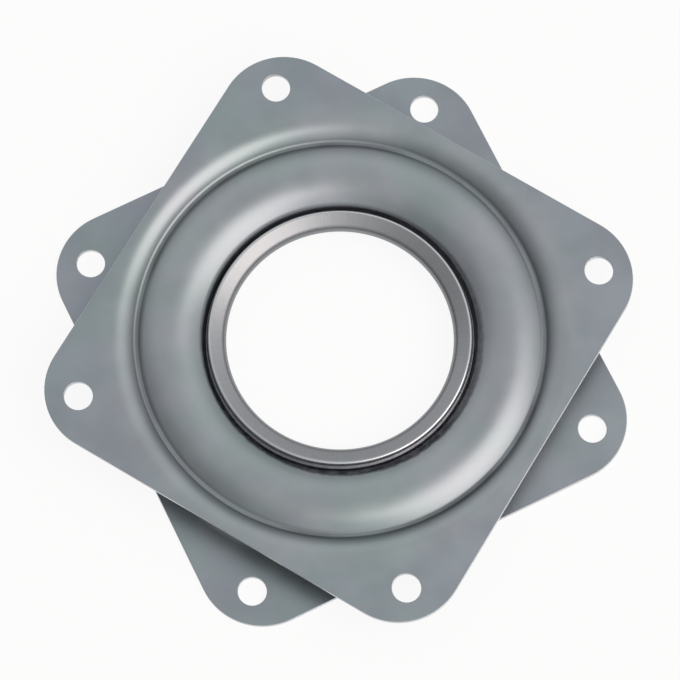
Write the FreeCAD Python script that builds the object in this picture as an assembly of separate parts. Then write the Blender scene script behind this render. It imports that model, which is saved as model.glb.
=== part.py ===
import FreeCAD, Part
import math
import os

# Square lazy susan bearing: two pressed steel plates that turn on one ring of steel balls.
# The base plate's drawn neck is flared out over the top plate's hooked inner rim, and that alone
# holds the bearing together. Millimetres, +Z up along the turning axis, origin on the axis at the
# underside.

# Both plates are stamped from the same blank: a rounded square with a screw hole in each corner
hole_spacing = 63.5
hole_diameter = 4.8
hole_inset = 7.15
corner_radius = 11.0
sheet = 0.9
cut_edge_round = 0.15

# Balls, and how far each plate's race stays short of the plane of its corner flats
ball_diameter = 6.35
ball_play = 0.02
least_ball_gap = 0.15
crest_drop = 0.155
rest_turn = 33.0

# Pressed form that both plates share, from the flats inwards: a rolled edge, a narrow valley and the
# race. Depths run from a plate's outer flat towards the balls, lengths follow the middle of the
# sheet, bends are inside radii and flanks are degrees from flat
side_flat = 0.57
roll_bend = 4.1
roll_flank = 45.0
valley_depth = 1.7
valley_width = 0.96
valley_bend = 0.3
race_bend = 8.1
race_flank = 30.5

# Top plate's inner rim: a wall down from the race, and a hook turned in under the flange
rim_ball_clearance = 1.85
rim_bend = 1.1
rim_wall_flank = 80.0
rim_drop = 1.8
hook_bend = 0.2
hook_overlap = 1.0
hook_clearance = 0.35

# Base plate's drawn neck around the centre hole, and the flange flared out of its top
flange_gap = 0.17
flange_width = 3.28
flange_drop = 1.6
flange_slope = 26.0
flange_edge_round = 0.4
throat_bend = 0.6
neck_taper = 20.0
neck_root_bend = 0.75


def point(radius, height):
    return FreeCAD.Vector(radius, 0, height)


def sine(degrees):
    return math.sin(math.radians(degrees))


def cosine(degrees):
    return math.cos(math.radians(degrees))


def rise(degrees):
    return math.tan(math.radians(degrees))


def left_of(heading):
    return point(-heading.z, heading.x)


def sheet_side(corners, bends, shift):
    """One face of the sheet in section: the line through the corners, moved shift to its left."""
    headings = []
    for start, end in zip(corners, corners[1:]):
        run = end - start
        headings.append(run / run.Length)
    edges = []
    here = corners[0] + left_of(headings[0]) * shift
    for corner, bend, before, after in zip(corners[1:-1], bends, headings, headings[1:]):
        normals = left_of(before) + left_of(after)
        bisector = normals / normals.Length
        half_turn = before.getAngle(after) / 2
        side = math.copysign(1, left_of(before).dot(after))
        knee = corner + bisector * (shift / math.cos(half_turn))
        radius = bend + sheet / 2 - shift * side
        setback = radius * math.tan(half_turn)
        arc_start = knee - before * setback
        arc_middle = knee + bisector * (side * radius * (1 / math.cos(half_turn) - 1))
        arc_end = knee + after * setback
        edges.append(Part.makeLine(here, arc_start))
        edges.append(Part.Arc(arc_start, arc_middle, arc_end).toShape())
        here = arc_end
    edges.append(Part.makeLine(here, corners[-1] + left_of(headings[-1]) * shift))
    return edges


def turned_sheet(corners, bends):
    """Sheet of even thickness, bent at each inner corner and swept once around the axis."""
    upper = sheet_side(corners, bends, sheet / 2)
    lower = sheet_side(corners, bends, -sheet / 2)
    outer_end = Part.makeLine(upper[0].Vertexes[0].Point, lower[0].Vertexes[0].Point)
    inner_end = Part.makeLine(upper[-1].Vertexes[-1].Point, lower[-1].Vertexes[-1].Point)
    outline = Part.Wire(Part.__sortEdges__(upper + [inner_end] + lower + [outer_end]))
    return Part.Face(outline).revolve(point(0, 0), point(0, 1), 360)


def blank_prism():
    """Rounded square with the plates' outline, taller than the bearing."""
    prism = Part.makeBox(plate_side, plate_side, 3 * overall_height)
    prism.translate(FreeCAD.Vector(-plate_side / 2, -plate_side / 2, -overall_height))
    uprights = [edge for edge in prism.Edges if edge.BoundBox.ZLength > overall_height]
    return prism.makeFillet(corner_radius, uprights)


def stamped(disc, outer_height):
    """Trims a turned sheet to the blank, punches the screw holes and rounds the outer cut edges."""
    plate = disc.common(blank_prism())
    for x in (-hole_spacing / 2, hole_spacing / 2):
        for y in (-hole_spacing / 2, hole_spacing / 2):
            foot = FreeCAD.Vector(x, y, -overall_height)
            plate = plate.cut(Part.makeCylinder(hole_diameter / 2, 3 * overall_height, foot))
    cut_edges = []
    for edge in plate.Edges:
        box = edge.BoundBox
        in_outer_flat = max(abs(box.ZMin - outer_height), abs(box.ZMax - outer_height)) < cut_edge_round / 10
        beyond_roll = max(vertex.Point.distanceToPoint(point(0, vertex.Z)) for vertex in edge.Vertexes)
        if in_outer_flat and beyond_roll > flat_radius + side_flat / 10:
            cut_edges.append(edge)
    return plate.makeFillet(cut_edge_round, cut_edges)


# Outline and stack
plate_side = hole_spacing + 2 * hole_inset
overall_height = ball_diameter + 2 * (ball_play + sheet + crest_drop)

# Race shared by both plates, as radius and depth of the middle of the sheet. The race's two flanks
# would meet at an apex above its crest, and its bend rounds that apex off
flat_middle = sheet / 2
valley_middle = valley_depth + sheet / 2
crest_middle = crest_drop + sheet / 2
apex_middle = crest_middle - (race_bend + sheet / 2) * (1 / cosine(race_flank) - 1)
flat_radius = plate_side / 2 - side_flat
roll_radius = flat_radius - (roll_bend + sheet / 2) * rise(roll_flank / 2)
valley_outer = roll_radius - valley_depth / rise(roll_flank)
valley_inner = valley_outer - valley_width
valley_reach = (valley_middle - apex_middle) / rise(race_flank)
pitch_radius = valley_inner - valley_reach
corner_reach = math.sqrt(2) * (plate_side / 2 - corner_radius) + corner_radius
pressed_race = [
    (corner_reach + sheet, flat_middle),
    (roll_radius, flat_middle),
    (valley_outer, valley_middle),
    (valley_inner, valley_middle),
    (pitch_radius, apex_middle),
]
race_bends = [roll_bend, valley_bend, valley_bend, race_bend]

# Top plate's rim, inside the balls, and the bottom of the wall where the hook begins. The rim's bend
# takes up no more than the straight of the race's flank above it
rim_radius = pitch_radius - ball_diameter / 2 - rim_ball_clearance - sheet / 2
rim_middle = apex_middle + (pitch_radius - rim_radius) * rise(race_flank)
flank_straight = (pitch_radius - rim_radius) / cosine(race_flank) - (race_bend + sheet / 2) * rise(race_flank)
rim_half_turn = (rim_wall_flank - race_flank) / 2
rim_bend_fitted = min(rim_bend, 0.95 * flank_straight / rise(rim_half_turn) - sheet / 2)
hook_radius = rim_radius - rim_drop / rise(rim_wall_flank)

# Flange inside the rim, and the throat's bend below it
flange_radius = hook_radius - sheet / 2 - flange_gap
throat_radius = flange_radius - flange_width
flange_end = point(
    flange_radius - sheet / 2 * sine(flange_slope),
    overall_height - flange_drop - sheet / 2 * cosine(flange_slope))
throat_middle_bend = throat_bend + sheet / 2
bend_centre_radius = throat_radius + throat_middle_bend + sheet / 2
height_over_centre = flange_end.z - (flange_end.x - bend_centre_radius) * rise(flange_slope)
bend_centre = point(bend_centre_radius, height_over_centre - throat_middle_bend / cosine(flange_slope))
throat_half_turn = (90 + neck_taper - flange_slope) / 2
throat_bisector = 180 + neck_taper - throat_half_turn
throat_corner = bend_centre + point(cosine(throat_bisector), sine(throat_bisector)) * (
    throat_middle_bend / cosine(throat_half_turn))

# Base plate: its race bulges down, and its inner floor is drawn up into the neck and flared
neck_root_radius = throat_corner.x + (throat_corner.z - valley_middle) * rise(neck_taper)
base_corners = [point(radius, depth) for radius, depth in pressed_race]
base_corners += [
    point(pitch_radius - valley_reach, valley_middle),
    point(neck_root_radius, valley_middle),
    throat_corner,
    flange_end,
]
base_bends = race_bends + [valley_bend, neck_root_bend, throat_bend]
base_plate = stamped(turned_sheet(base_corners, base_bends), 0)
flange_edge = max(base_plate.Edges, key=lambda edge: edge.BoundBox.ZMin)
base_plate = base_plate.makeFillet(flange_edge_round, [flange_edge])

# Top plate: its race bulges up, and its rim is hooked in under the flange
tip_radius = flange_radius - hook_overlap
flange_over_tip = flange_end.z - (flange_end.x - tip_radius) * rise(flange_slope)
flange_underside = flange_over_tip - sheet / 2 / cosine(flange_slope)
top_corners = [point(radius, overall_height - depth) for radius, depth in pressed_race]
top_corners += [
    point(rim_radius, overall_height - rim_middle),
    point(hook_radius, overall_height - rim_middle - rim_drop),
    point(tip_radius, flange_underside - hook_clearance - sheet / 2),
]
top_bends = race_bends + [rim_bend_fitted, hook_bend]
top_plate = stamped(turned_sheet(top_corners, top_bends), overall_height)
top_plate.rotate(point(0, 0), point(0, 1), rest_turn)

# Balls: as many as the race holds with the least gap from each to the next
least_step = 2 * math.asin((ball_diameter + least_ball_gap) / (2 * pitch_radius))
ball_count = int(2 * math.pi / least_step)
balls = []
for place in range(ball_count):
    turn = FreeCAD.Rotation(point(0, 1), 360 * place / ball_count)
    centre = turn.multVec(point(pitch_radius, overall_height / 2))
    balls.append(Part.makeSphere(ball_diameter / 2, centre))

os.makedirs("parts", exist_ok=True)
base_plate.exportStep("parts/base_plate.step")
top_plate.exportStep("parts/top_plate.step")
for place, ball in enumerate(balls):
    ball.exportStep(f"parts/ball_{place + 1:02d}.step")
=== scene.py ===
import math

import bpy
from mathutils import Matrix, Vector


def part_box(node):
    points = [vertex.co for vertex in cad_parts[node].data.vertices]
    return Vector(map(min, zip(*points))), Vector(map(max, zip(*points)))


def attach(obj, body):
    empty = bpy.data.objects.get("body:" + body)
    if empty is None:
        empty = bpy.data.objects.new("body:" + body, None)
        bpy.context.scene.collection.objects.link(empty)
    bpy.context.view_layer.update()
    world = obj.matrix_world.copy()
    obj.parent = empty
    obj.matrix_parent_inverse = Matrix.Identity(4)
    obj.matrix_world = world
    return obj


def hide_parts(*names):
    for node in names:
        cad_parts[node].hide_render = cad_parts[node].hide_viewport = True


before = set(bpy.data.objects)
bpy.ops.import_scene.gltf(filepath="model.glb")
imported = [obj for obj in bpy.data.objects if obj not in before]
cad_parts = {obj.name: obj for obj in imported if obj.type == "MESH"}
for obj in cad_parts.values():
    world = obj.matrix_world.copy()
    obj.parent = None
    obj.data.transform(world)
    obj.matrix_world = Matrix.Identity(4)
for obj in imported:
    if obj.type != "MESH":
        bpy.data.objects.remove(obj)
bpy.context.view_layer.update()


# Base plate: one sheet of low-carbon steel, zinc plated, blanked to a rounded square, punched at its
# corners and pressed into a downward race for the balls. Its middle is drawn up into a neck, whose
# lip is flared out over the top plate and is the only fastening the bearing has.
sheet = 0.0009
hole_spacing = 0.0635
hole_diameter = 0.0048
hole_inset = 0.00715
corner_radius = 0.011
cut_edge_round = 0.00014

side_flat = 0.00057
roll_bend = 0.0041
roll_flank = math.radians(45.0)
valley_depth = 0.0017
valley_width = 0.00096
valley_bend = 0.0003
valley_outer_bend = 0.00075
race_bend = 0.0081
race_flank = math.radians(30.5)
ball_play = 0.00002

flange_gap = 0.00017
flange_width = 0.00328
flange_drop = 0.0016
flange_slope = math.radians(26.0)
flange_edge_round = 0.0004
throat_bend = 0.0006
neck_taper = math.radians(20.0)
neck_root_bend = 0.00075

# The top plate's rim, which the flange is turned out over
rim_ball_clearance = 0.00185
rim_wall_flank = math.radians(80.0)
rim_drop = 0.0018

# Fineness of the pressed form, the fold past which an edge is sharp, and how near two points are one
seam_flat = 0.0003
steps_around = 288
steps_in_bend = 12
steps_in_corner = 24
steps_in_hole = 48
steps_in_rounding = 4
sharp_fold = math.radians(50)
merge_reach = 0.000005

ball_low, ball_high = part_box("ball_01")
ball_diameter = ball_high.x - ball_low.x
ball_height = (ball_low.z + ball_high.z) / 2
overall_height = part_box("top_plate")[1].z
plate_side = hole_spacing + 2 * hole_inset
flat_radius = plate_side / 2 - side_flat
seam_radius = flat_radius + seam_flat
crest_drop = ball_height - ball_diameter / 2 - ball_play - sheet

roll_radius = flat_radius - (roll_bend + sheet / 2) * math.tan(roll_flank / 2)
valley_outer = roll_radius - valley_depth / math.tan(roll_flank)
valley_inner = valley_outer - valley_width
valley_middle = valley_depth + sheet / 2
apex_middle = crest_drop + sheet / 2 - (race_bend + sheet / 2) * (1 / math.cos(race_flank) - 1)
valley_reach = (valley_middle - apex_middle) / math.tan(race_flank)
pitch_radius = valley_inner - valley_reach

rim_radius = pitch_radius - ball_diameter / 2 - rim_ball_clearance - sheet / 2
hook_radius = rim_radius - rim_drop / math.tan(rim_wall_flank)
flange_radius = hook_radius - sheet / 2 - flange_gap
throat_radius = flange_radius - flange_width
flange_end = (
    flange_radius - sheet / 2 * math.sin(flange_slope),
    overall_height - flange_drop - sheet / 2 * math.cos(flange_slope))
throat_middle_bend = throat_bend + sheet / 2
bend_centre_radius = throat_radius + throat_middle_bend + sheet / 2
height_over_centre = flange_end[1] - (flange_end[0] - bend_centre_radius) * math.tan(flange_slope)
bend_centre_height = height_over_centre - throat_middle_bend / math.cos(flange_slope)
throat_half_turn = (math.radians(90) + neck_taper - flange_slope) / 2
throat_bisector = math.radians(180) + neck_taper - throat_half_turn
throat_reach = throat_middle_bend / math.cos(throat_half_turn)
throat_corner = (
    bend_centre_radius + throat_reach * math.cos(throat_bisector),
    bend_centre_height + throat_reach * math.sin(throat_bisector))
neck_root_radius = throat_corner[0] + (throat_corner[1] - valley_middle) * math.tan(neck_taper)


def race_corners(face, inward):
    """Corners of the middle of the sheet from the flat to the race's apex, each with its inside bend."""
    return [
        (seam_radius, face + inward * sheet / 2, 0),
        (roll_radius, face + inward * sheet / 2, roll_bend),
        (valley_outer, face + inward * valley_middle, valley_outer_bend),
        (valley_inner, face + inward * valley_middle, valley_bend),
        (pitch_radius, face + inward * apex_middle, race_bend),
    ]


def add(tree, kind, options=None, feeds=None):
    """Adds a node, sets its options, and feeds its sockets with values or with other nodes' outputs."""
    made = tree.nodes.new(kind)
    for option, value in (options or {}).items():
        setattr(made, option, value)
    for socket, value in (feeds or {}).items():
        if isinstance(value, bpy.types.NodeSocket):
            tree.links.new(value, made.inputs[socket])
        else:
            made.inputs[socket].default_value = value
    return made


def calc(tree, operation, first, second=0.0, third=0.0):
    """Output of one sum on numbers or sockets."""
    return add(tree, "ShaderNodeMath", {"operation": operation}, {
        0: first, 1: second, 2: third}).outputs[0]


def spread(tree, value, start, end, at_start, at_end):
    """The value's way from start to end, eased and held at both ends, as a way between two others."""
    return add(tree, "ShaderNodeMapRange", {"interpolation_type": "SMOOTHSTEP"}, {
        0: value, 1: start, 2: end, 3: at_start, 4: at_end}).outputs[0]


def new_tree(name, sizes):
    """A Geometry Nodes tree with a geometry going in and out, and one named input for each size."""
    tree = bpy.data.node_groups.new(name, "GeometryNodeTree")
    tree.interface.new_socket("Geometry", in_out="INPUT", socket_type="NodeSocketGeometry")
    for size, value in sizes.items():
        kind = "NodeSocketInt" if isinstance(value, int) else "NodeSocketFloat"
        tree.interface.new_socket(size, in_out="INPUT", socket_type=kind)
    tree.interface.new_socket("Geometry", in_out="OUTPUT", socket_type="NodeSocketGeometry")
    return tree


def grown(name, start, steps):
    """The plain mesh object that the steps, trees and modifiers in turn, make of the start mesh."""
    seed = bpy.data.objects.new(name + "_seed", start)
    bpy.context.scene.collection.objects.link(seed)
    for kind, tree, values in steps:
        step = seed.modifiers.new(kind.lower(), kind)
        if kind == "NODES":
            step.node_group = tree
            for item in tree.interface.items_tree:
                if item.in_out == "INPUT" and item.name in values:
                    step[item.identifier] = values[item.name]
        else:
            for option, value in values.items():
                setattr(step, option, value)
    depsgraph = bpy.context.evaluated_depsgraph_get()
    mesh = bpy.data.meshes.new_from_object(
        seed.evaluated_get(depsgraph), preserve_all_data_layers=True, depsgraph=depsgraph)
    mesh.name = name
    bpy.data.objects.remove(seed)
    bpy.data.meshes.remove(start)
    piece = bpy.data.objects.new(name, mesh)
    bpy.context.scene.collection.objects.link(piece)
    return piece


def pressed_sheet_tree(name, sizes, finish):
    """Middle surface of a pressed plate: a section swept round the axis, in a punched square flat."""
    tree = new_tree(name, sizes)
    given = add(tree, "NodeGroupInput").outputs
    bend = add(tree, "GeometryNodeInputNamedAttribute", {"data_type": "FLOAT"}, {"Name": "bend"})
    line = add(tree, "GeometryNodeMeshToCurve", {}, {"Mesh": given["Geometry"]})
    section = add(tree, "GeometryNodeFilletCurve", {"mode": "POLY"}, {
        "Curve": line.outputs[0], "Count": given["Steps in a bend"], "Radius": bend.outputs[0]})
    shift = add(tree, "ShaderNodeCombineXYZ", {}, {
        "X": calc(tree, "MULTIPLY", given["Seam radius"], -1.0)})
    laid = add(tree, "GeometryNodeTransform", {}, {
        "Geometry": section.outputs[0], "Translation": shift.outputs[0],
        "Rotation": (math.radians(90), 0, 0)})
    seam = add(tree, "GeometryNodeCurvePrimitiveCircle", {}, {
        "Resolution": given["Steps around"], "Radius": given["Seam radius"]})
    sweep = add(tree, "GeometryNodeCurveToMesh", {}, {
        "Curve": seam.outputs[0], "Profile Curve": laid.outputs[0]})
    swept = add(tree, "GeometryNodeFlipFaces", {}, {"Mesh": sweep.outputs[0]})

    blank = add(tree, "GeometryNodeCurvePrimitiveQuadrilateral", {}, {
        "Width": given["Plate side"], "Height": given["Plate side"]})
    outline = add(tree, "GeometryNodeFilletCurve", {"mode": "POLY"}, {
        "Curve": blank.outputs[0], "Count": given["Steps in a corner"], "Radius": given["Corner radius"]})
    centres = add(tree, "GeometryNodeCurvePrimitiveQuadrilateral", {}, {
        "Width": given["Hole spacing"], "Height": given["Hole spacing"]})
    punch = add(tree, "GeometryNodeCurvePrimitiveCircle", {}, {
        "Resolution": given["Steps in a hole"],
        "Radius": calc(tree, "MULTIPLY", given["Hole diameter"], 0.5)})
    holes = add(tree, "GeometryNodeInstanceOnPoints", {}, {
        "Points": centres.outputs[0], "Instance": punch.outputs[0]})
    cut = add(tree, "GeometryNodeRealizeInstances", {}, {"Geometry": holes.outputs[0]})
    edges = add(tree, "GeometryNodeJoinGeometry")
    tree.links.new(outline.outputs[0], edges.inputs[0])
    tree.links.new(cut.outputs[0], edges.inputs[0])
    turn = add(tree, "ShaderNodeCombineXYZ", {}, {"Z": given["Turn"]})
    turned = add(tree, "GeometryNodeTransform", {}, {
        "Geometry": edges.outputs[0], "Rotation": turn.outputs[0]})
    loops = add(tree, "GeometryNodeJoinGeometry")
    tree.links.new(turned.outputs[0], loops.inputs[0])
    tree.links.new(seam.outputs[0], loops.inputs[0])
    gap_light = add(tree, "GeometryNodeFillCurve", {"mode": "NGONS"}, {"Curve": loops.outputs[0]})
    lift = add(tree, "ShaderNodeCombineXYZ", {}, {"Z": given["Flat height"]})
    flat = add(tree, "GeometryNodeTransform", {}, {
        "Geometry": gap_light.outputs[0], "Translation": lift.outputs[0]})

    whole = add(tree, "GeometryNodeJoinGeometry")
    tree.links.new(flat.outputs[0], whole.inputs[0])
    tree.links.new(swept.outputs[0], whole.inputs[0])
    joined = add(tree, "GeometryNodeMergeByDistance", {}, {
        "Geometry": whole.outputs[0], "Distance": given["Merge reach"]})
    smooth = add(tree, "GeometryNodeSetShadeSmooth", {}, {"Geometry": joined.outputs[0]})
    real = add(tree, "GeometryNodeRealizeInstances", {}, {"Geometry": smooth.outputs[0]})
    dressed = add(tree, "GeometryNodeSetMaterial", {}, {
        "Geometry": real.outputs[0], "Material": finish})
    add(tree, "NodeGroupOutput", {}, {"Geometry": dressed.outputs[0]})
    return tree


def edge_round_tree(name, sizes):
    """Marks how far each sharp edge is rounded: in full on the flange's upper lip, less on the rest."""
    tree = new_tree(name, sizes)
    given = add(tree, "NodeGroupInput").outputs
    place = add(tree, "GeometryNodeInputPosition").outputs[0]
    axes = add(tree, "ShaderNodeSeparateXYZ", {}, {0: place}).outputs
    across = add(tree, "ShaderNodeCombineXYZ", {}, {"X": axes["X"], "Y": axes["Y"]}).outputs[0]
    radius = add(tree, "ShaderNodeVectorMath", {"operation": "LENGTH"}, {0: across}).outputs["Value"]
    inside = calc(tree, "LESS_THAN", radius, given["Lip reach"])
    above = calc(tree, "GREATER_THAN", axes["Z"], given["Lip height"])
    lip = calc(tree, "MULTIPLY", inside, above)
    share = add(tree, "ShaderNodeMapRange", {}, {0: lip, 3: given["Cut share"], 4: 1.0}).outputs[0]
    fold = add(tree, "GeometryNodeInputMeshEdgeAngle").outputs["Unsigned Angle"]
    sharp = calc(tree, "GREATER_THAN", fold, given["Sharp fold"])
    marked = add(tree, "GeometryNodeStoreNamedAttribute", {"data_type": "FLOAT", "domain": "EDGE"}, {
        "Geometry": given["Geometry"], "Name": "bevel_weight_edge",
        "Value": calc(tree, "MULTIPLY", sharp, share)})
    add(tree, "NodeGroupOutput", {}, {"Geometry": marked.outputs[0]})
    return tree


def pressed_plate(name, corners, turn, finish):
    """One pressed plate, grown from the corners of its section and given the sheet's thickness."""
    line = bpy.data.meshes.new(name + "_section")
    points = [(radius, 0, height) for radius, height, bend in corners]
    line.from_pydata(points, [(i, i + 1) for i in range(len(points) - 1)], [])
    bends = line.attributes.new("bend", "FLOAT", "POINT")
    bends.data.foreach_set("value", [bend + sheet / 2 if bend else 0 for radius, height, bend in corners])
    sizes = {
        "Seam radius": seam_radius,
        "Flat height": corners[0][1],
        "Plate side": plate_side,
        "Corner radius": corner_radius,
        "Hole spacing": hole_spacing,
        "Hole diameter": hole_diameter,
        "Turn": turn,
        "Merge reach": merge_reach,
        "Steps around": steps_around,
        "Steps in a bend": steps_in_bend,
        "Steps in a corner": steps_in_corner,
        "Steps in a hole": steps_in_hole,
    }
    rounding = {
        "Lip reach": flange_radius + sheet / 4,
        "Lip height": overall_height - flange_drop - sheet / 2,
        "Cut share": cut_edge_round / flange_edge_round,
        "Sharp fold": sharp_fold,
    }
    return grown(name, line, [
        ("NODES", pressed_sheet_tree(name + "_form", sizes, finish), sizes),
        ("SOLIDIFY", None, {"thickness": sheet, "offset": 0, "use_even_offset": True}),
        ("NODES", edge_round_tree(name + "_edges", rounding), rounding),
        ("BEVEL", None, {"width": flange_edge_round, "segments": steps_in_rounding,
                         "limit_method": "WEIGHT", "use_clamp_overlap": False}),
        ("WEIGHTED_NORMAL", None, {"keep_sharp": True, "weight": 50}),
    ])


# Zinc on both plates: two tones that bloom into each other, thinner and thicker clouds, and a colder
# coat towards the corners. Draw marks run along the radius, so they are counted round the plate
zinc_green = (0.238, 0.281, 0.286, 1)
zinc_blue = (0.254, 0.274, 0.297, 1)
zinc_thin = (0.97, 0.97, 0.97, 1)
zinc_thick = (1.085, 1.085, 1.08, 1)
corner_coat = (0.915, 0.930, 0.967, 1)
corner_coat_start = 0.037
corner_coat_full = 0.042
clouds_per_metre = 110.0
blooms_per_metre = 62.0
grains_per_metre = 3600.0
draw_marks_per_radian = 70.0
noise_range = (0.3, 0.7)
bloom_edge = (0.35, 0.65)
zinc_metallic = 0.85
zinc_roughness = (0.33, 0.38)
zinc_relief = 0.0000055
grain_share = 0.6
draw_mark_share = 0.8

# Painted shade in the valley's crease: it lies further out towards one side and further in opposite it,
# and is darker on both these sides
crease_shade_towards = (0.240, -0.971, 0.0)
crease_shade_colour = (0.075, 0.080, 0.088, 1)
crease_shade_middle = valley_inner + 0.0004
crease_shade_drift = 0.0004
crease_shade_full = 0.0002
crease_shade_end = 0.0011
crease_shade_cover = (0.3, 0.6)
crease_shade_boost = 0.45

# Bare steel on the cut edges, where the surface turns away from the flat
cut_steel = (0.62, 0.63, 0.65, 1)
cut_full = 0.7
cut_end = 0.9
shear_marks_per_metre = (4200.0, 4200.0, 240.0)
shear_mark_share = 4.0


def zinc_plated(name):
    """Satin zinc on pressed sheet: cloudy tint, fine grain, draw marks, painted shade in the valley's
    crease, and bare metal where cut.
    """
    finish = bpy.data.materials.new(name)
    finish.use_nodes = True
    tree = finish.node_tree
    spot = add(tree, "ShaderNodeTexCoord")
    place = spot.outputs["Object"]
    axes = add(tree, "ShaderNodeSeparateXYZ", {}, {0: place}).outputs
    across = add(tree, "ShaderNodeCombineXYZ", {}, {"X": axes["X"], "Y": axes["Y"]}).outputs[0]
    radius = add(tree, "ShaderNodeVectorMath", {"operation": "LENGTH"}, {0: across}).outputs["Value"]
    heading = add(tree, "ShaderNodeVectorMath", {"operation": "NORMALIZE"}, {0: across}).outputs["Vector"]
    cloud = add(tree, "ShaderNodeTexNoise", {}, {
        "Vector": place, "Scale": clouds_per_metre, "Detail": 3.0}).outputs[0]
    grain = add(tree, "ShaderNodeTexNoise", {}, {
        "Vector": place, "Scale": grains_per_metre, "Detail": 2.0}).outputs[0]
    marks = add(tree, "ShaderNodeTexNoise", {}, {
        "Vector": heading, "Scale": draw_marks_per_radian, "Detail": 3.0}).outputs[0]
    bloom = add(tree, "ShaderNodeTexNoise", {}, {
        "Vector": place, "Scale": blooms_per_metre, "Detail": 4.0}).outputs[0]
    hue = add(tree, "ShaderNodeMix", {"data_type": "RGBA"}, {
        "Factor": spread(tree, bloom, *bloom_edge, 0.0, 1.0),
        6: zinc_green, 7: zinc_blue}).outputs[2]
    tint = add(tree, "ShaderNodeMix", {"data_type": "RGBA", "blend_type": "MULTIPLY"}, {
        "Factor": 1.0, 6: hue, 7: add(tree, "ShaderNodeMix", {"data_type": "RGBA"}, {
            "Factor": spread(tree, cloud, *noise_range, 0.0, 1.0),
            6: zinc_thin, 7: zinc_thick}).outputs[2]}).outputs[2]
    coated = add(tree, "ShaderNodeMix", {"data_type": "RGBA", "blend_type": "MULTIPLY"}, {
        "Factor": spread(tree, radius, corner_coat_start, corner_coat_full, 0.0, 1.0),
        6: tint, 7: corner_coat}).outputs[2]

    # Painted shade in the valley's crease, moved and darkened by the side it leans to
    lean = add(tree, "ShaderNodeVectorMath", {"operation": "DOT_PRODUCT"}, {
        0: heading, 1: crease_shade_towards}).outputs["Value"]
    crease_shade_radius = calc(tree, "MULTIPLY_ADD", lean, crease_shade_drift, crease_shade_middle)
    off_valley = calc(tree, "ABSOLUTE", calc(tree, "SUBTRACT", radius, crease_shade_radius))
    crease_shade = calc(tree, "MULTIPLY", spread(tree, off_valley, crease_shade_full, crease_shade_end, 1.0, 0.0), calc(
        tree, "MULTIPLY", spread(tree, cloud, *noise_range, *crease_shade_cover), calc(
            tree, "MULTIPLY_ADD", calc(tree, "MULTIPLY", lean, lean), crease_shade_boost, 1.0)))
    crease_shaded = add(tree, "ShaderNodeMix", {"data_type": "RGBA"}, {
        "Factor": crease_shade, 6: coated, 7: crease_shade_colour}).outputs[2]

    upright = add(tree, "ShaderNodeSeparateXYZ", {}, {0: spot.outputs["Normal"]}).outputs["Z"]
    side_on = spread(tree, calc(tree, "ABSOLUTE", upright), cut_full, cut_end, 1.0, 0.0)
    cut = calc(tree, "MULTIPLY", side_on, calc(tree, "GREATER_THAN", radius, roll_radius))
    bare = add(tree, "ShaderNodeMix", {"data_type": "RGBA"}, {
        "Factor": cut, 6: crease_shaded, 7: cut_steel}).outputs[2]
    stretch = add(tree, "ShaderNodeVectorMath", {"operation": "MULTIPLY"}, {
        0: place, 1: shear_marks_per_metre}).outputs["Vector"]
    shear = add(tree, "ShaderNodeTexNoise", {}, {
        "Vector": stretch, "Scale": 1.0, "Detail": 2.0}).outputs[0]

    roughness = spread(tree, cloud, *noise_range, *zinc_roughness)
    ridged = calc(tree, "ADD", calc(tree, "MULTIPLY", grain, grain_share), calc(
        tree, "MULTIPLY", marks, draw_mark_share))
    relief = add(tree, "ShaderNodeMix", {"data_type": "FLOAT"}, {0: cut, 2: ridged, 3: calc(
        tree, "MULTIPLY", shear, shear_mark_share)}).outputs[0]
    bump = add(tree, "ShaderNodeBump", {}, {"Strength": 1.0, "Distance": zinc_relief, "Height": relief})
    shader = tree.nodes["Principled BSDF"]
    shader.inputs["Metallic"].default_value = zinc_metallic
    tree.links.new(bare, shader.inputs["Base Color"])
    tree.links.new(roughness, shader.inputs["Roughness"])
    tree.links.new(bump.outputs[0], shader.inputs["Normal"])
    return finish, {
        "tree": tree, "shader": shader, "bump": bump,
        "tint": bare, "roughness": roughness, "relief": relief,
        "place": place, "height": axes["Z"], "radius": radius, "heading": heading, "lean": lean}


def laid_over(base, share, tint, roughness, relief):
    """Puts a second finish over a plate's zinc, where share says, and keeps it as the plate's own."""
    tree = base["tree"]
    base["tint"] = add(tree, "ShaderNodeMix", {"data_type": "RGBA"}, {
        "Factor": share, 6: base["tint"], 7: tint}).outputs[2]
    base["roughness"] = add(tree, "ShaderNodeMix", {"data_type": "FLOAT"}, {
        0: share, 2: base["roughness"], 3: roughness}).outputs[0]
    base["relief"] = add(tree, "ShaderNodeMix", {"data_type": "FLOAT"}, {
        0: share, 2: base["relief"], 3: relief}).outputs[0]
    tree.links.new(base["tint"], base["shader"].inputs["Base Color"])
    tree.links.new(base["roughness"], base["shader"].inputs["Roughness"])
    tree.links.new(base["relief"], base["bump"].inputs["Height"])


# The flange, burnished by the roller that flared it, and its lip, rubbed bright
burnished_dark = (0.236, 0.247, 0.260, 1)
burnished_light = (0.310, 0.323, 0.338, 1)
burnished_roughness = (0.30, 0.36)
flange_foot = 0.0034
flange_full = 0.0040
roller_marks_per_radian = 150.0
roller_mark_share = 4.0
lip_steel = (0.46, 0.48, 0.50, 1)
lip_roughness = 0.1
lip_start = flange_radius - 0.0007
lip_full = flange_radius - 0.0005

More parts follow.
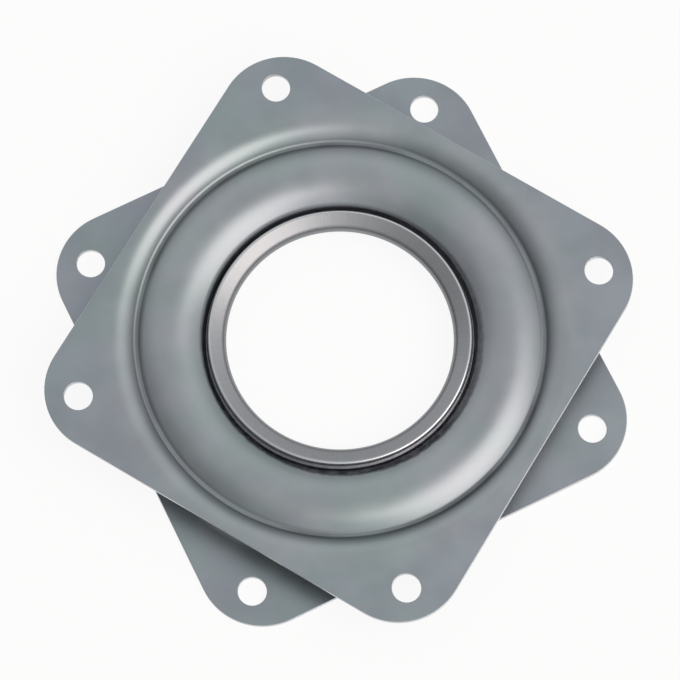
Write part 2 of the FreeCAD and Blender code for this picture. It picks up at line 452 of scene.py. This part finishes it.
base_finish, ground = zinc_plated("base_plate_zinc")
tree = ground["tree"]
on_flange = spread(tree, ground["height"], flange_foot, flange_full, 0.0, 1.0)
roller_marks = add(tree, "ShaderNodeTexNoise", {}, {
    "Vector": ground["heading"], "Scale": roller_marks_per_radian, "Detail": 4.0}).outputs[0]
burnished = add(tree, "ShaderNodeMix", {"data_type": "RGBA"}, {
    "Factor": roller_marks, 6: burnished_dark, 7: burnished_light}).outputs[2]
laid_over(ground, on_flange, burnished, spread(tree, roller_marks, *noise_range, *burnished_roughness),
          calc(tree, "MULTIPLY", roller_marks, roller_mark_share))
on_lip = calc(tree, "MULTIPLY", on_flange, spread(
    tree, ground["radius"], lip_start, lip_full, 0.0, 1.0))
laid_over(ground, on_lip, lip_steel, lip_roughness, roller_marks)

base_corners = race_corners(0, 1) + [
    (pitch_radius - valley_reach, valley_middle, valley_bend),
    (neck_root_radius, valley_middle, neck_root_bend),
    (*throat_corner, throat_bend),
    (*flange_end, 0),
]
base_plate = pressed_plate("base_plate_pressing", base_corners, 0, base_finish)
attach(base_plate, "base")
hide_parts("base_plate")


# Balls: a full ring of hardened chrome steel balls with no cage, which roll in grease between the
# two races. Each is ground and polished; the ring goes round at half the speed of the top plate.
polished_steel = (0.60, 0.60, 0.61, 1)
greasy_steel = (0.40, 0.38, 0.33, 1)
ball_roughness = (0.08, 0.30)
film_patches_per_metre = 420.0
film_edge = (0.48, 0.62)
film_relief = 0.00002
film_strength = 0.6
ball_segments = 40
ball_rings = 20

chrome = bpy.data.materials.new("greased_chrome_steel")
chrome.use_nodes = True
tree = chrome.node_tree
place = add(tree, "ShaderNodeTexCoord").outputs["Object"]
film = add(tree, "ShaderNodeTexNoise", {}, {
    "Vector": place, "Scale": film_patches_per_metre, "Detail": 3.0}).outputs[0]
greasy = spread(tree, film, *film_edge, 0.0, 1.0)
skin = add(tree, "ShaderNodeMix", {"data_type": "RGBA"}, {
    "Factor": greasy, 6: polished_steel, 7: greasy_steel}).outputs[2]
bump = add(tree, "ShaderNodeBump", {}, {
    "Strength": film_strength, "Distance": film_relief, "Height": greasy})
shader = tree.nodes["Principled BSDF"]
shader.inputs["Metallic"].default_value = 1.0
tree.links.new(skin, shader.inputs["Base Color"])
tree.links.new(spread(tree, greasy, 0.0, 1.0, *ball_roughness), shader.inputs["Roughness"])
tree.links.new(bump.outputs[0], shader.inputs["Normal"])


def ball_ring_tree(name, sizes, finish):
    """Balls set side by side on the circle that their centres keep."""
    tree = new_tree(name, sizes)
    given = add(tree, "NodeGroupInput").outputs
    pitch = add(tree, "GeometryNodeCurvePrimitiveCircle", {}, {
        "Resolution": given["Ball count"], "Radius": given["Pitch radius"]})
    lift = add(tree, "ShaderNodeCombineXYZ", {}, {"Z": given["Centre height"]})
    places = add(tree, "GeometryNodeTransform", {}, {
        "Geometry": pitch.outputs[0], "Translation": lift.outputs[0]})
    ball = add(tree, "GeometryNodeMeshUVSphere", {}, {
        "Segments": given["Segments"], "Rings": given["Rings"],
        "Radius": calc(tree, "MULTIPLY", given["Ball diameter"], 0.5)})
    ring = add(tree, "GeometryNodeInstanceOnPoints", {}, {
        "Points": places.outputs[0], "Instance": ball.outputs[0]})
    real = add(tree, "GeometryNodeRealizeInstances", {}, {"Geometry": ring.outputs[0]})
    smooth = add(tree, "GeometryNodeSetShadeSmooth", {}, {"Geometry": real.outputs[0]})
    dressed = add(tree, "GeometryNodeSetMaterial", {}, {
        "Geometry": smooth.outputs[0], "Material": finish})
    add(tree, "NodeGroupOutput", {}, {"Geometry": dressed.outputs[0]})
    return tree


ball_names = sorted(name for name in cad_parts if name.startswith("ball_"))
ball_sizes = {
    "Ball count": len(ball_names),
    "Segments": ball_segments,
    "Rings": ball_rings,
    "Ball diameter": ball_diameter,
    "Pitch radius": (ball_low.x + ball_high.x) / 2,
    "Centre height": ball_height,
}
balls = grown("ball_set", bpy.data.meshes.new("ball_set_start"), [
    ("NODES", ball_ring_tree("ball_ring_form", ball_sizes, chrome), ball_sizes)])
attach(balls, "ball_ring")
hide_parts(*ball_names)


# Top plate: the same blank, punched alike and pressed into an upward race over the balls. Its inner
# rim goes down past the balls and hooks in under the base plate's flange; grease fills the gap, with
# painted shade on it and on the rim's shoulder.
rest_turn = math.radians(33.0)
rim_bend = 0.0011
hook_bend = 0.0002
hook_overlap = 0.001
hook_clearance = 0.00035

# Grease under the flange, with painted shade: it reaches further out over the rim's shoulder on the side
# the crease shade leans to, is paler at the bottom of the gap as painted light, paler in its smears,
# and paler on one side as painted light
grease_and_shade_reach = 0.02367
grease_and_shade_drift = 0.00077
grease_and_shade_ragged = 0.0008
grease_and_shade_fade = 0.0003
grease_and_shade_dark = (0.036, 0.039, 0.047, 1)
grease_light = (0.196, 0.208, 0.232, 1)
grease_lit_side = (0.300, 0.315, 0.340, 1)
grease_roughness = (0.3, 0.45)
gap_light_bottom = 0.0050
gap_light_top = 0.0062
gap_light_share = 0.7
smears_per_metre = 700.0
smear_edge = (0.4, 0.65)
smear_share = 0.3
smear_relief_share = 6.0
lit_side_towards = (0.946, 0.324, 0.0)
lit_side_start = -0.1
lit_side_full = 0.8
lit_side_share = 0.42

rim_middle = apex_middle + (pitch_radius - rim_radius) * math.tan(race_flank)
tip_radius = flange_radius - hook_overlap
flange_over_tip = flange_end[1] - (flange_end[0] - tip_radius) * math.tan(flange_slope)
flange_underside = flange_over_tip - sheet / 2 / math.cos(flange_slope)

top_finish, ground = zinc_plated("top_plate_zinc")
tree = ground["tree"]
smear = add(tree, "ShaderNodeTexNoise", {}, {
    "Vector": ground["place"], "Scale": smears_per_metre, "Detail": 4.0}).outputs[0]
# Painted shade with the grease: it reaches further out over the rim's shoulder on the side the crease
# shade leans to
edge_of_grease_and_shade = calc(tree, "ADD", calc(tree, "MULTIPLY_ADD", ground["lean"], grease_and_shade_drift, grease_and_shade_reach),
                      calc(tree, "MULTIPLY_ADD", smear, grease_and_shade_ragged, -grease_and_shade_ragged / 2))
past_edge = calc(tree, "SUBTRACT", ground["radius"], edge_of_grease_and_shade)
grease_and_shade = spread(tree, past_edge, -grease_and_shade_fade, grease_and_shade_fade, 1.0, 0.0)
# Painted light: paler low in the gap
gap_light = spread(tree, ground["height"], gap_light_bottom, gap_light_top, gap_light_share, 0.0)
grease_and_shade_tone = add(tree, "ShaderNodeMix", {"data_type": "RGBA"}, {
    "Factor": calc(tree, "ADD", gap_light, spread(tree, smear, *smear_edge, 0.0, smear_share)),
    6: grease_and_shade_dark, 7: grease_light}).outputs[2]
# Painted light: paler on one side
lit_side = add(tree, "ShaderNodeVectorMath", {"operation": "DOT_PRODUCT"}, {
    0: ground["heading"], 1: lit_side_towards}).outputs["Value"]
grease_and_shade_tone = add(tree, "ShaderNodeMix", {"data_type": "RGBA"}, {
    "Factor": spread(tree, lit_side, lit_side_start, lit_side_full, 0.0, lit_side_share),
    6: grease_and_shade_tone, 7: grease_lit_side}).outputs[2]
laid_over(ground, grease_and_shade, grease_and_shade_tone, spread(tree, smear, *smear_edge, *grease_roughness),
          calc(tree, "MULTIPLY", smear, smear_relief_share))

top_corners = race_corners(overall_height, -1) + [
    (rim_radius, overall_height - rim_middle, rim_bend),
    (hook_radius, overall_height - rim_middle - rim_drop, hook_bend),
    (tip_radius, flange_underside - hook_clearance - sheet / 2, 0),
]
top_plate = pressed_plate("top_plate_pressing", top_corners, rest_turn, top_finish)
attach(top_plate, "top")
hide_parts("top_plate")


# Floor: a wide white matte board just under the bearing. To the camera and in the metal it is nearly
# pure white, and it keeps the bearing's shadow.
board_reach = 3.0
board_drop = 0.00002
board_paint = (0.93, 0.93, 0.93, 1)
board_white_share = 0.91
board_mesh = bpy.data.meshes.new("white_board")
board_mesh.from_pydata(
    [(-board_reach, -board_reach, 0), (board_reach, -board_reach, 0),
     (board_reach, board_reach, 0), (-board_reach, board_reach, 0)], [], [(0, 1, 2, 3)])
board = bpy.data.objects.new("white_board", board_mesh)
board.location.z = -board_drop
bpy.context.scene.collection.objects.link(board)
white = bpy.data.materials.new("white_board")
white.use_nodes = True
board_mesh.materials.append(white)
tree = white.node_tree
tree.nodes.clear()
matte = add(tree, "ShaderNodeBsdfDiffuse", {}, {"Color": board_paint})
glow = add(tree, "ShaderNodeEmission", {}, {"Color": (1, 1, 1, 1), "Strength": 1.0})
rays = add(tree, "ShaderNodeLightPath").outputs
seen = calc(tree, "MAXIMUM", rays["Is Camera Ray"], rays["Is Glossy Ray"])
mixed = add(tree, "ShaderNodeMixShader", {}, {
    0: calc(tree, "MULTIPLY", seen, board_white_share), 1: matte.outputs[0], 2: glow.outputs[0]})
add(tree, "ShaderNodeOutputMaterial", {}, {0: mixed.outputs[0]})


# Studio: a white room that the camera sees as plain white. The metal mirrors its bright ceiling, its
# darker lower walls with one dim side, and a pale band at the horizon.
horizon_shade = 0.60
ceiling_shade = 0.77

# Pairs of height, from 0 at the horizon to 1 straight overhead, and shade
wall_shades = (
    (0.04, 0.60), (0.08, 0.22), (0.18, 0.28), (0.35, 0.58),
    (0.52, 0.92), (0.65, 1.0), (0.82, 0.97), (0.95, 0.79))
dim_direction = (-0.9488, 0.0053, 0.3412)
dim_start = 0.45
dim_full = 0.95
open_level = 1.24
dim_level = 0.5
soft_light_level = 0.5

studio = bpy.data.worlds.new("studio")
bpy.context.scene.world = studio
studio.use_nodes = True
tree = studio.node_tree
tree.nodes.clear()
towards = add(tree, "ShaderNodeTexCoord").outputs["Generated"]
height = add(tree, "ShaderNodeSeparateXYZ", {}, {0: towards}).outputs["Z"]
walls = add(tree, "ShaderNodeValToRGB", {}, {"Fac": height})
stops = walls.color_ramp.elements
stops[0].color = (horizon_shade, horizon_shade, horizon_shade, 1)
stops[1].color = (ceiling_shade, ceiling_shade, ceiling_shade, 1)
for at, shade in wall_shades:
    stops.new(at).color = (shade, shade, shade, 1)
dim_side = add(tree, "ShaderNodeVectorMath", {"operation": "DOT_PRODUCT"}, {
    0: towards, 1: dim_direction}).outputs["Value"]
mirrored = calc(tree, "MULTIPLY", walls.outputs[0], spread(
    tree, dim_side, dim_start, dim_full, open_level, dim_level))
rays = add(tree, "ShaderNodeLightPath").outputs
level = add(tree, "ShaderNodeMapRange", {}, {
    0: rays["Is Glossy Ray"], 3: soft_light_level, 4: 1.0}).outputs[0]
lit = calc(tree, "MULTIPLY", mirrored, level)
strength = add(tree, "ShaderNodeMix", {"data_type": "FLOAT"}, {
    0: rays["Is Camera Ray"], 2: lit, 3: 1.0}).outputs[0]
room = add(tree, "ShaderNodeBackground", {}, {"Color": (1, 1, 1, 1), "Strength": strength})
add(tree, "ShaderNodeOutputWorld", {}, {0: room.outputs[0]})

lamp_direction = Vector((0.349, -0.482, 0.804)).normalized()
lamp_distance = 1.0
lamp = bpy.data.lights.new("softbox", "AREA")
lamp.shape = "SQUARE"
lamp.size = 0.8
lamp.energy = 5.0
lamp.color = (1.0, 0.87, 0.81)
lamp_object = bpy.data.objects.new("softbox", lamp)
lamp_object.location = lamp_direction * lamp_distance
lamp_object.rotation_euler = lamp_direction.to_track_quat("Z", "Y").to_euler()
bpy.context.scene.collection.objects.link(lamp_object)


# Camera: high above the bearing at the photograph's angle, aimed at the middle of its height.
view_azimuth = math.radians(-26.08)
view_elevation = math.radians(73.8)
camera_distance = 0.6
frame_share = 0.86
object_width = 0.0985
back = Vector((
    math.sin(view_azimuth) * math.cos(view_elevation),
    -math.cos(view_azimuth) * math.cos(view_elevation),
    math.sin(view_elevation)))
lens = bpy.data.cameras.new("camera")
lens.sensor_width = 36
lens.lens = lens.sensor_width * frame_share * camera_distance / object_width
camera = bpy.data.objects.new("camera", lens)
camera.location = Vector((0, 0, overall_height / 2)) + back * camera_distance
camera.rotation_mode = "QUATERNION"
camera.rotation_quaternion = (-back).to_track_quat("-Z", "Y")
bpy.context.scene.collection.objects.link(camera)
bpy.context.scene.camera = camera
bpy.context.scene.view_settings.view_transform = "Standard"
